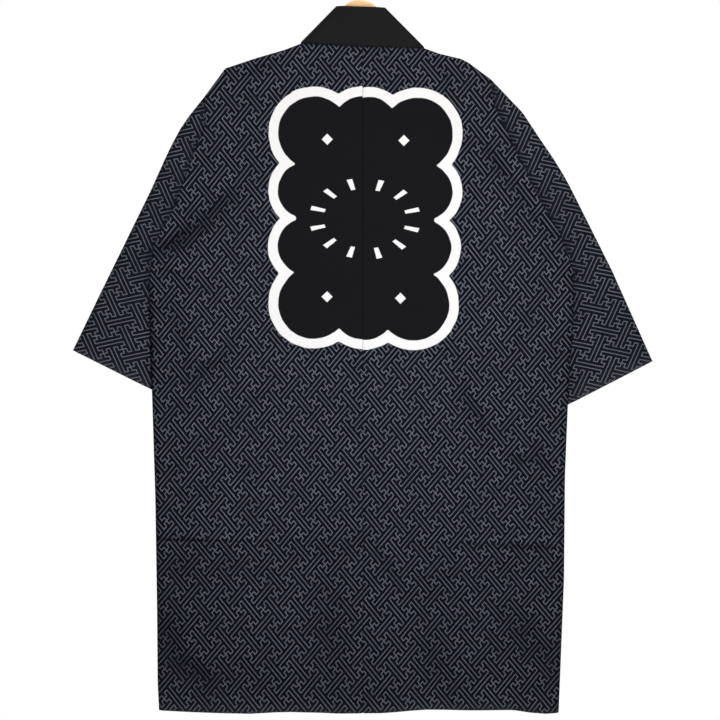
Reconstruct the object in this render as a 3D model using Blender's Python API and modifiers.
"""Happi coat on a wooden hanger.

The coat hangs with its back towards -Y, so +X is the wearer's right, +Y its
front, and +Z up. The origin is the inside top of the hanger's hook, where a
rail would carry it. Each half of the body is one length of cloth that runs
from the back hem over the shoulder to the front hem. A half is drawn by its
outline, as seen from behind, and given depth by how far each point lies from
the folds that close it: the shoulder above and the side below the armhole.
"""
import math
from collections import namedtuple

import bmesh
import bpy
import numpy as np

# ---------------------------------------------------------------- cloth sizes
WALL = 0.0012             # thickness of the patterned cotton
BAND_WALL = 0.003         # the collar is folded cloth over a core
SEAM_GAP = 0.0003         # pieces stand this far apart where they are sewn
HEM_Z = -1.1127           # hem at the centre-back seam
NECK_Z = -0.1465          # centre back of the neck seam
BAND_TOP = {"left": -0.0885, "right": -0.0902}
BAND_CORNER = {"left": 0.0371, "right": 0.0310}
FRONT_EDGE = 0.0885       # the front edges hang this far from the middle
FRONT_BAND_EDGE = 0.0330  # and the free edges of the band this far
MITRE_DROP = 0.12         # the band's cross lines turn level over this drop
TURN_GAP = 0.0006         # more room between band and body round the turn
TURN_REACH = 0.015        # which goes this far from it
DEPTH_TOP = 0.0120        # half the thickness of the hanging coat, at the top
DEPTH_HEM = 0.0185        # and at the hem
SHOULDER_ROUND = 0.012    # how far from the shoulder fold the depth is full
SIDE_ROUND = 0.016        # and from the side seam
CUFF_DEPTH = 0.0075       # half the thickness of a sleeve at its cuff
FRONT_CLEAR = WALL + 0.001    # a sleeve lies this clear of the front
RIDGE_RISE = 0.0375       # the shoulder folds would meet this far above the neck
WELD = 0.00002            # points this near each other are one

# Outlines as seen from behind. Columns: distance out from the centre-back
# seam, and height.
SHOULDER = {
    "left": [(0.0900, -0.1425), (0.1130, -0.1514), (0.1530, -0.1630),
             (0.1995, -0.1784), (0.2300, -0.2200)],
    "right": [(0.0895, -0.1492), (0.1110, -0.1570), (0.1427, -0.1646),
              (0.1540, -0.1703), (0.1860, -0.1942)],
}
ARMHOLE = {
    "left": [(0.2300, -0.2200), (0.2285, -0.2635), (0.2460, -0.3045),
             (0.2735, -0.3814), (0.3040, -0.4370), (0.3105, -0.4950)],
    "right": [(0.1860, -0.1942), (0.1891, -0.2277), (0.2166, -0.2871),
              (0.2572, -0.3698), (0.2887, -0.4234), (0.3070, -0.4780)],
}
SIDE = {
    "left": [(0.3105, -0.4950), (0.3065, -0.5600), (0.3050, -0.6500),
             (0.3010, -0.8019), (0.2984, -0.9670), (0.2976, -1.0700),
             (0.2956, -1.1107)],
    "right": [(0.3070, -0.4780), (0.3060, -0.5450), (0.2990, -0.6420),
              (0.2938, -0.7700), (0.2924, -0.9200), (0.2846, -1.1143)],
}
# The hem from left to right. Columns: x, height.
HEM = [(-0.2956, -1.1107), (-0.2126, -1.1137), (-0.1633, -1.1149),
       (-0.1256, -1.1126), (-0.1038, -1.1120), (-0.0386, -1.1145),
       (0.0267, -1.1131), (0.0702, -1.1098), (0.0919, -1.1088),
       (0.1354, -1.1094), (0.1789, -1.1071), (0.2007, -1.1072),
       (0.2224, -1.1096), (0.2442, -1.1132), (0.2659, -1.1152),
       (0.2846, -1.1143)]
# Top fold of each sleeve, from the armhole to the cuff.
SLEEVE_TOP = {
    "left": [(0.2300, -0.2200), (0.2523, -0.2480), (0.2642, -0.2654),
             (0.2783, -0.2915), (0.2886, -0.3135), (0.3077, -0.3560),
             (0.3827, -0.5091), (0.4208, -0.5881)],
    "right": [(0.1860, -0.1942), (0.2325, -0.2429), (0.2543, -0.2761),
              (0.2767, -0.3089), (0.2928, -0.3350), (0.3040, -0.3560),
              (0.3624, -0.4727), (0.4210, -0.6040)],
}
# Under fold: from the underarm down beside the body, then inwards before the
# front, and down to the cuff.
SLEEVE_UNDER = {
    "left": [(0.3123, -0.4950), (0.3126, -0.5060), (0.3120, -0.5180),
             (0.3095, -0.5330), (0.2900, -0.5570), (0.2480, -0.5880),
             (0.2080, -0.6260), (0.1870, -0.6620), (0.1785, -0.7092)],
    "right": [(0.3088, -0.4780), (0.3092, -0.4890), (0.3090, -0.5010),
              (0.3072, -0.5170), (0.2900, -0.5440), (0.2500, -0.5850),
              (0.2100, -0.6300), (0.1880, -0.6750), (0.1803, -0.7283)],
}
# The row of a sleeve that ends at the underarm starts this far down its top.
UNDERARM_SHARE = {"left": 0.80, "right": 0.78}
BEND_START = 0.85         # from this share of the armhole the seam turns out
BEND_RUN = 0.15           # to the underarm, over this share
# A sleeve comes forward from this far inside the side seam, over this run,
LIFT_START = 0.018
LIFT_RUN = 0.028
# and from this far above the underarm, over this run. Beside the body both
# grow, by these shares of the distance out from the side seam.
UNDER_START = 0.004
UNDER_RUN = 0.034
START_GROWTH = 0.9
RUN_GROWTH = 1.3

Fold = namedtuple("Fold", "x0 z0 x1 z1 width depth")
# The largest folds. Each is a soft ridge (depth above 0) or trough along a
# line from (x0, z0) to (x1, z1).
BACK_FOLDS = [
    Fold(-0.165, -0.335, -0.262, -0.425, 0.022, -0.0050),
    Fold(-0.150, -0.395, -0.275, -0.478, 0.024, 0.0028),
    Fold(-0.150, -0.575, -0.270, -0.655, 0.024, -0.0038),
    Fold(-0.130, -0.620, -0.255, -0.715, 0.028, 0.0022),
    Fold(-0.262, -1.000, -0.150, -1.085, 0.030, -0.0060),
    Fold(-0.230, -0.930, -0.130, -1.010, 0.036, 0.0036),
    Fold(-0.062, -0.900, -0.058, -1.130, 0.030, -0.0050),
    Fold(0.028, -0.760, 0.040, -1.130, 0.036, 0.0050),
    Fold(0.108, -0.960, 0.118, -1.130, 0.028, -0.0048),
    Fold(0.120, -0.610, 0.190, -0.735, 0.026, -0.0040),
    Fold(0.225, -0.920, 0.262, -1.040, 0.032, -0.0050),
    Fold(0.178, -0.980, 0.190, -1.130, 0.026, 0.0050),
    Fold(0.140, -0.300, 0.205, -0.395, 0.026, -0.0030),
]
FRONT_FOLDS = [
    Fold(-0.225, -0.860, -0.232, -1.130, 0.030, 0.0050),
    Fold(-0.155, -0.820, -0.150, -1.130, 0.026, -0.0045),
    Fold(0.150, -0.800, 0.158, -1.130, 0.028, -0.0045),
    Fold(0.222, -0.880, 0.232, -1.130, 0.030, 0.0050),
]

# Where the grid lines run, as shares of each stretch.
NECK_STEPS = (0.0, 0.22, 0.44, 0.64, 0.82, 0.94, 0.987, 1.0)
SHOULDER_STEPS = (0.0, 0.16, 0.33, 0.50, 0.67, 0.82, 0.92, 0.97, 0.992, 1.0)
ARMHOLE_STEPS = (0.0, 0.006, 0.022, 0.06, 0.15, 0.27, 0.40, 0.54, 0.68,
                 0.81, 0.91, 0.965, 0.99, 1.0)
SIDE_ROWS = 17
NECK_SHARE = 0.31         # part of the back hem that lies below the neck
UNDER_STEPS = (0.05, 0.11, 0.19, 0.30, 0.43, 0.57, 0.71, 0.86, 1.0)
SLEEVE_STEPS = (0.0, 0.012, 0.045, 0.12, 0.22, 0.34, 0.46, 0.58, 0.70, 0.81,
                0.90, 0.97, 1.0)
GATHERED = 5.0            # the lines across a sleeve crowd this much beside
GATHER_WIDTH = 0.016      # the side seam, within this distance of it
GATHER_SHIFT = 0.004      # and about this far outside it
FINE_STEPS = 201
SLEEVE_BLEND = 0.060      # a sleeve takes its own depth this far from its seam
BAND_COLUMNS = 3

# --------------------------------------------------------------- hanger sizes
HANGER_THICK = 0.013
HANGER_EDGE = 0.0022      # rounding of the wood's edges
HANGER_TILT = math.radians(2.2)   # the coat pulls its right side down
HANGER_TOP = [(0.0, -0.0790), (0.0072, -0.0797), (0.0128, -0.0813),
              (0.0175, -0.0836), (0.0215, -0.0866), (0.0252, -0.0904),
              (0.0310, -0.0985), (0.0400, -0.1130), (0.0600, -0.1370),
              (0.0780, -0.1480), (0.0900, -0.1520), (0.1400, -0.1698),
              (0.1790, -0.1850)]
HANGER_TIP = [(0.1860, -0.1915), (0.1880, -0.2000), (0.1835, -0.2075)]
HANGER_UNDER = [(0.1400, -0.1995), (0.0900, -0.1790), (0.0450, -0.1590),
                (0.0, -0.1490)]
WIRE_RADIUS = 0.0018
HOOK_RADIUS = 0.0200      # to the middle of the wire
STEM_BEND = 0.0120        # radius of the bend from stem to hook
HOOK_TURN = math.radians(205)     # how far round the hook goes
FOOT_GAP = 0.0005         # the stem stands this far above the wood
BEND_STEPS = 4            # straight runs of wire in the bend
HOOK_STEPS = 14           # and in the hook

COLOURS = {
    "cotton": ((0.012, 0.014, 0.021, 1.0), 0.85, 0.0),
    "band": ((0.012, 0.012, 0.013, 1.0), 0.80, 0.0),
    "wood": ((0.72, 0.47, 0.25, 1.0), 0.45, 0.0),
    "steel": ((0.62, 0.63, 0.65, 1.0), 0.25, 1.0),
}
SIGN = {"left": -1.0, "right": 1.0}


# -------------------------------------------------------------------- helpers
def smooth(share):
    """Ease from 0 to 1 as share goes from 0 to 1."""
    share = np.clip(share, 0.0, 1.0)
    return share * share * (3.0 - 2.0 * share)


def rounded(share):
    """Height of a quarter round at a share of its radius from the edge."""
    return np.sqrt(1.0 - (1.0 - np.clip(share, 0.0, 1.0)) ** 2)


def along(line, shares):
    """Points at the given shares of a line's length."""
    line = np.array(line)
    steps = np.linalg.norm(np.diff(line, axis=0), axis=1)
    reach = np.concatenate(([0.0], np.cumsum(steps)))
    at = np.array(shares) * reach[-1]
    return np.stack([np.interp(at, reach, column) for column in line.T], axis=-1)


def distance(points, line):
    """Distance from each point to the nearest stretch of a line."""
    best = np.full(points.shape[:-1], np.inf)
    for start, end in zip(np.array(line[:-1]), np.array(line[1:])):
        run = end - start
        share = np.clip(((points - start) @ run) / (run @ run), 0.0, 1.0)
        foot = start + share[..., None] * run
        best = np.minimum(best, np.linalg.norm(points - foot, axis=-1))
    return best


def folds_at(x, z, folds):
    """Sum of the soft ridges and troughs at the given places."""
    points = np.stack([x, z], axis=-1)
    total = np.zeros(x.shape)
    for fold in folds:
        line = [(fold.x0, fold.z0), (fold.x1, fold.z1)]
        total += fold.depth * np.exp(-(distance(points, line) / fold.width) ** 2)
    return total


def full_depth(z):
    """Half the coat's thickness at a height, away from its folded edges."""
    share = (z - NECK_Z) / (HEM_Z - NECK_Z)
    return DEPTH_TOP + (DEPTH_HEM - DEPTH_TOP) * np.clip(share, 0.0, 1.0)


def body_depth(side, out, z, folds):
    """Depth of one layer of the body: none at the shoulder fold and at the
    side seam, and full a short way in from both."""
    points = np.stack([out, z], axis=-1)
    neck = SHOULDER[side][0]
    ridge = [(0.0, neck[1] + RIDGE_RISE)] + SHOULDER[side] + SLEEVE_TOP[side][1:]
    closed = rounded(distance(points, ridge) / SHOULDER_ROUND)
    closed = closed * rounded(distance(points, SIDE[side]) / SIDE_ROUND)
    return closed * (full_depth(z) + folds_at(SIGN[side] * out, z, folds))


def patch(top, bottom, inner, outer, us, vs):
    """Coons patch: the surface that four border lines enclose. Rows run down
    from top to bottom, and columns from inner to outer."""
    u = np.array(us)[None, :, None]
    v = np.array(vs)[:, None, None]
    across = (1 - u) * inner[:, None, :] + u * outer[:, None, :]
    down = (1 - v) * top[None, :, :] + v * bottom[None, :, :]
    corners = ((1 - u) * (1 - v) * top[0] + u * (1 - v) * top[-1]
               + (1 - u) * v * bottom[0] + u * v * bottom[-1])
    return across + down - corners


# ------------------------------------------------------------ making objects
def material(kind):
    """Principled material of one of the coat's finishes."""
    found = bpy.data.materials.get(kind)
    if found:
        return found
    colour, roughness, metallic = COLOURS[kind]
    made = bpy.data.materials.new(kind)
    made.use_nodes = True
    shader = made.node_tree.nodes["Principled BSDF"]
    shader.inputs["Base Color"].default_value = colour
    shader.inputs["Roughness"].default_value = roughness
    shader.inputs["Metallic"].default_value = metallic
    made.diffuse_color = colour
    return made


def add_object(name, data, kind, collection):
    """Put new mesh or curve data in the scene under a piece's name."""
    piece = bpy.data.objects.new(name, data)
    data.materials.append(material(kind))
    collection.objects.link(piece)
    return piece


def add_cloth(name, sheets, wall, kind, collection):
    """One piece of cloth from grids of points, welded where they meet, with
    its thickness from a Solidify. A sheet's columns and rows turn so that
    its face points out of the coat."""
    mesh = bmesh.new()
    for sheet in sheets:
        rows = [[mesh.verts.new(point) for point in row] for row in sheet]
        for upper, lower in zip(rows, rows[1:]):
            for a, b, c, d in zip(upper, upper[1:], lower[1:], lower):
                mesh.faces.new((a, b, c, d))
    bmesh.ops.remove_doubles(mesh, verts=mesh.verts, dist=WELD)
    data = bpy.data.meshes.new(name)
    mesh.to_mesh(data)
    mesh.free()
    data.shade_smooth()
    piece = add_object(name, data, kind, collection)
    solidify = piece.modifiers.new("Wall", "SOLIDIFY")
    solidify.thickness = wall
    solidify.offset = 0.0
    return piece


# ------------------------------------------------------------- cloth surfaces
def side_shares(side):
    """Shares of the outer edge, shoulder to hem, at which the rows start:
    the armhole's rows, then even rows down the side."""
    lengths = [np.linalg.norm(np.diff(np.array(line), axis=0), axis=1).sum()
               for line in (ARMHOLE[side], SIDE[side])]
    underarm = lengths[0] / sum(lengths)
    upper = [underarm * step for step in ARMHOLE_STEPS]
    lower = np.linspace(underarm, 1.0, SIDE_ROWS + 1)[1:]
    return np.array(upper + list(lower))


def back_outline(side):
    """Grid of (out, z) over the back of one half."""
    vs = side_shares(side)
    neck_columns = NECK_SHARE * np.array(NECK_STEPS)
    rest = NECK_SHARE + (1 - NECK_SHARE) * np.array(SHOULDER_STEPS)
    us = np.concatenate((neck_columns, rest[1:]))
    seam = [(SEAM_GAP / 2, NECK_Z), SHOULDER[side][0]]
    top = np.concatenate((along(seam, NECK_STEPS),
                          along(SHOULDER[side], SHOULDER_STEPS)[1:]))
    outer = along(ARMHOLE[side] + SIDE[side][1:], vs)
    inner = along([(SEAM_GAP / 2, NECK_Z), (SEAM_GAP / 2, HEM_Z)], vs)
    hem_out = SEAM_GAP / 2 + us * (SIDE[side][-1][0] - SEAM_GAP / 2)
    hem_x, hem_z = np.array(HEM).T
    bottom = np.stack([hem_out, np.interp(SIGN[side] * hem_out, hem_x, hem_z)], axis=-1)
    bottom[0] = inner[-1]
    return patch(top, bottom, inner, outer, us, vs)


def front_outline(side):
    """Grid of (out, z) over the front of one half, sharing the back's points
    along the shoulder and the outer edge."""
    vs = side_shares(side)
    top = along(SHOULDER[side], SHOULDER_STEPS)
    outer = along(ARMHOLE[side] + SIDE[side][1:], vs)
    inner = along([SHOULDER[side][0], (FRONT_EDGE, HEM_Z)], vs)
    bottom = along([(FRONT_EDGE, HEM_Z), SIDE[side][-1]], SHOULDER_STEPS)
    return patch(top, bottom, inner, outer, SHOULDER_STEPS, vs)


def raised(side, outline, folds, towards):
    """Points in space over an outline: towards is -1 for the back."""
    out, z = outline[..., 0], outline[..., 1]
    depth = body_depth(side, out, z, folds)
    return np.stack([SIGN[side] * out, towards * depth, z], axis=-1)


def body_sheets(side):
    """Back and front of one body length."""
    back = raised(side, back_outline(side), BACK_FOLDS, -1.0)
    front = raised(side, front_outline(side), FRONT_FOLDS, 1.0)
    if side == "left":
        return [back, front[:, ::-1]]
    return [back[:, ::-1], front]


def side_reach(side, z):
    """Distance out of the armhole and the side seam at each height."""
    edge = np.array(ARMHOLE[side] + SIDE[side][1:])
    return np.interp(-z, -edge[:, 1], edge[:, 0])


def gathered(side, top, inner):
    """Shares across each row of a sleeve, crowded beside the side seam,
    where the sleeve steps forward."""
    fine = np.linspace(0.0, 1.0, FINE_STEPS)
    line = top[:, None] + fine[None, :, None] * (inner - top)[:, None]
    past = line[..., 0] - side_reach(side, line[..., 1]) - GATHER_SHIFT
    crowd = np.cumsum(1.0 + GATHERED * np.exp(-(past / GATHER_WIDTH) ** 2), axis=1)
    crowd = (crowd - crowd[:, :1]) / (crowd[:, -1:] - crowd[:, :1])
    return np.array([np.interp(SLEEVE_STEPS, row, fine) for row in crowd])


def sleeve_outline(side):
    """Grid of (out, z) over a sleeve: rows run across it from the top fold to
    the armhole's edge and, past the underarm, to the under fold. All rows
    start at the top of the armhole, where the first one is a point."""
    steps = np.array(ARMHOLE_STEPS)
    seam = along(ARMHOLE[side], steps)
    apart = (SLEEVE_UNDER[side][0][0] - seam[-1, 0]) * smooth((steps - BEND_START) / BEND_RUN)
    seam[:, 0] += SEAM_GAP + apart
    under = along(SLEEVE_UNDER[side], UNDER_STEPS)
    inner = np.concatenate((seam, under))
    share = UNDERARM_SHARE[side]
    lower = np.linspace(share, 1.0, len(UNDER_STEPS) + 1)[1:]
    top = along(SLEEVE_TOP[side], np.concatenate((steps * share, lower)))
    top[0] = inner[0]
    across = gathered(side, top, inner)[..., None]
    return top[:, None] + across * (inner - top)[:, None]


def sleeve_sheets(side):
    """Back and front layer of a sleeve. Its lower part comes forward, to lie
    before the body's front."""
    flat = sleeve_outline(side)
    out, z = flat[..., 0], flat[..., 1]
    underarm = ARMHOLE[side][-1]
    closed = rounded(distance(flat, flat[:, 0]) / SHOULDER_ROUND)
    closed *= rounded(distance(flat, flat[len(ARMHOLE_STEPS) - 1:, -1]) / SIDE_ROUND)
    closed[:, 0] = 0.0
    closed[len(ARMHOLE_STEPS) - 1:, -1] = 0.0
    down = np.linspace(0.0, 1.0, len(flat))[:, None]
    own = DEPTH_TOP + (CUFF_DEPTH - DEPTH_TOP) * down
    blend = smooth(distance(flat, ARMHOLE[side]) / SLEEVE_BLEND)

    reach = side_reach(side, z)
    beyond = np.clip(out - reach, 0.0, None)
    lift = smooth((reach - out + LIFT_START) / LIFT_RUN)
    below = underarm[1] + UNDER_START + START_GROWTH * beyond - z
    lift *= smooth(below / (UNDER_RUN + RUN_GROWTH * beyond))
    layers = []
    for folds, towards in ((BACK_FOLDS, -1.0), (FRONT_FOLDS, 1.0)):
        body = full_depth(z) + folds_at(SIGN[side] * out, z, folds)
        half = closed * ((1 - blend) * body + blend * own)
        before = full_depth(z) + FRONT_CLEAR + half
        y = towards * half + lift * before
        layers.append(np.stack([SIGN[side] * out, y, z], axis=-1))
    back, front = layers
    if side == "left":
        return [back[:, ::-1], front]
    return [back, front[:, ::-1]]


def band_half(side):
    """Cross lines of the collar band over one half, from the centre back
    round the mitred turn at the neck and down the front to the hem."""
    back = raised(side, back_outline(side), BACK_FOLDS, -1.0)[0, :len(NECK_STEPS)]
    front = raised(side, front_outline(side), FRONT_FOLDS, 1.0)[1:, 0]
    sewn = np.concatenate((back, front))
    corner = BAND_CORNER[side]
    top = BAND_TOP[side]
    share = np.concatenate((NECK_STEPS, np.ones(len(front))))
    drop = np.concatenate((np.zeros(len(back)), front[0, 2] - front[:, 2]))
    drop = np.maximum(drop, 0.0)
    turned = smooth(drop / MITRE_DROP)
    centre_top = (BAND_TOP["left"] + BAND_TOP["right"]) / 2
    free = sewn.copy()
    free[:, 0] = SIGN[side] * (corner * share + (FRONT_BAND_EDGE - corner) * turned)
    rise = (1 - turned) * (top - SHOULDER[side][0][1])
    free[:, 2] = np.where(share < 1.0, centre_top + (top - centre_top) * share,
                          sewn[:, 2] + rise)
    run = free - sewn
    run /= np.linalg.norm(run, axis=1)[:, None]
    turn = np.linalg.norm(sewn - sewn[len(back) - 1], axis=1) / TURN_REACH
    sewn = sewn + (SEAM_GAP + TURN_GAP * np.exp(-turn ** 2))[:, None] * run
    steps = np.linspace(0.0, 1.0, BAND_COLUMNS + 1)
    return sewn[:, None] + steps[None, :, None] * (free - sewn)[:, None]


def band_sheet():
    """The whole band, from the left front hem to the right front hem."""
    left = band_half("left")
    right = band_half("right")
    middle = (left[:1] + right[:1]) / 2
    return np.concatenate((left[:0:-1], middle, right[1:]))


# ------------------------------------------------------------ hanger and hook
def turned(points):
    """Turn (x, z) points about the hook, where the hanger is carried."""
    cos, sin = math.cos(HANGER_TILT), math.sin(HANGER_TILT)
    return [(x * cos + z * sin, z * cos - x * sin) for x, z in points]


def add_flat_wood(name, outline, collection):
    """A sawn board: a filled outline with its thickness and round edges."""
    curve = bpy.data.curves.new(name, "CURVE")
    curve.dimensions = "2D"
    curve.fill_mode = "BOTH"
    curve.extrude = HANGER_THICK / 2 - HANGER_EDGE
    curve.bevel_depth = HANGER_EDGE
    curve.bevel_resolution = 1
    curve.offset = -HANGER_EDGE
    spline = curve.splines.new("POLY")
    spline.points.add(len(outline) - 1)
    for point, (x, z) in zip(spline.points, outline):
        point.co = (x, z, 0.0, 1.0)
    spline.use_cyclic_u = True
    piece = add_object(name, curve, "wood", collection)
    piece.rotation_euler = (math.pi / 2, 0.0, 0.0)
    return piece


def hanger_outline():
    """Right half from the hump to the tip and back below, then its mirror."""
    right = HANGER_TOP + HANGER_TIP + HANGER_UNDER
    left = [(-x, z) for x, z in reversed(right[1:-1])]
    return turned(right + left)


def hook_path():
    """Middle of the wire: stem, bend to the side, and the hook's turn."""
    centre_z = WIRE_RADIUS - HOOK_RADIUS
    foot_z = HANGER_TOP[0][1] + FOOT_GAP
    start = math.asin(STEM_BEND / (STEM_BEND + HOOK_RADIUS))
    bend_z = centre_z - (STEM_BEND + HOOK_RADIUS) * math.cos(start)
    points = [(0.0, foot_z), (0.0, (foot_z + bend_z) / 2), (0.0, bend_z)]
    for step in range(1, BEND_STEPS + 1):
        angle = (math.pi / 2 - start) * step / BEND_STEPS
        points.append((STEM_BEND * (1 - math.cos(angle)),
                       bend_z + STEM_BEND * math.sin(angle)))
    for step in range(1, HOOK_STEPS + 1):
        angle = start - math.pi / 2 + HOOK_TURN * step / HOOK_STEPS
        points.append((HOOK_RADIUS * math.cos(angle),
                       centre_z + HOOK_RADIUS * math.sin(angle)))
    return turned(points)


def add_wire(name, path, collection):
    """The hook: one bent wire with flat ends."""
    curve = bpy.data.curves.new(name, "CURVE")
    curve.dimensions = "3D"
    curve.bevel_depth = WIRE_RADIUS
    curve.bevel_resolution = 2
    curve.use_fill_caps = True
    spline = curve.splines.new("POLY")
    spline.points.add(len(path) - 1)
    for point, (x, z) in zip(spline.points, path):
        point.co = (x, 0.0, z, 1.0)
    return add_object(name, curve, "steel", collection)


# ------------------------------------------------------------------ the coat
def build():
    for old in list(bpy.data.objects):
        bpy.data.objects.remove(old)
    collection = bpy.data.collections.new("happi_coat")
    bpy.context.scene.collection.children.link(collection)
    for side in ("left", "right"):
        add_cloth("body_" + side, body_sheets(side), WALL, "cotton", collection)
        add_cloth("sleeve_" + side, sleeve_sheets(side), WALL, "cotton", collection)
    add_cloth("collar", [band_sheet()], BAND_WALL, "band", collection)
    add_flat_wood("hanger", hanger_outline(), collection)
    add_wire("hook", hook_path(), collection)


build()
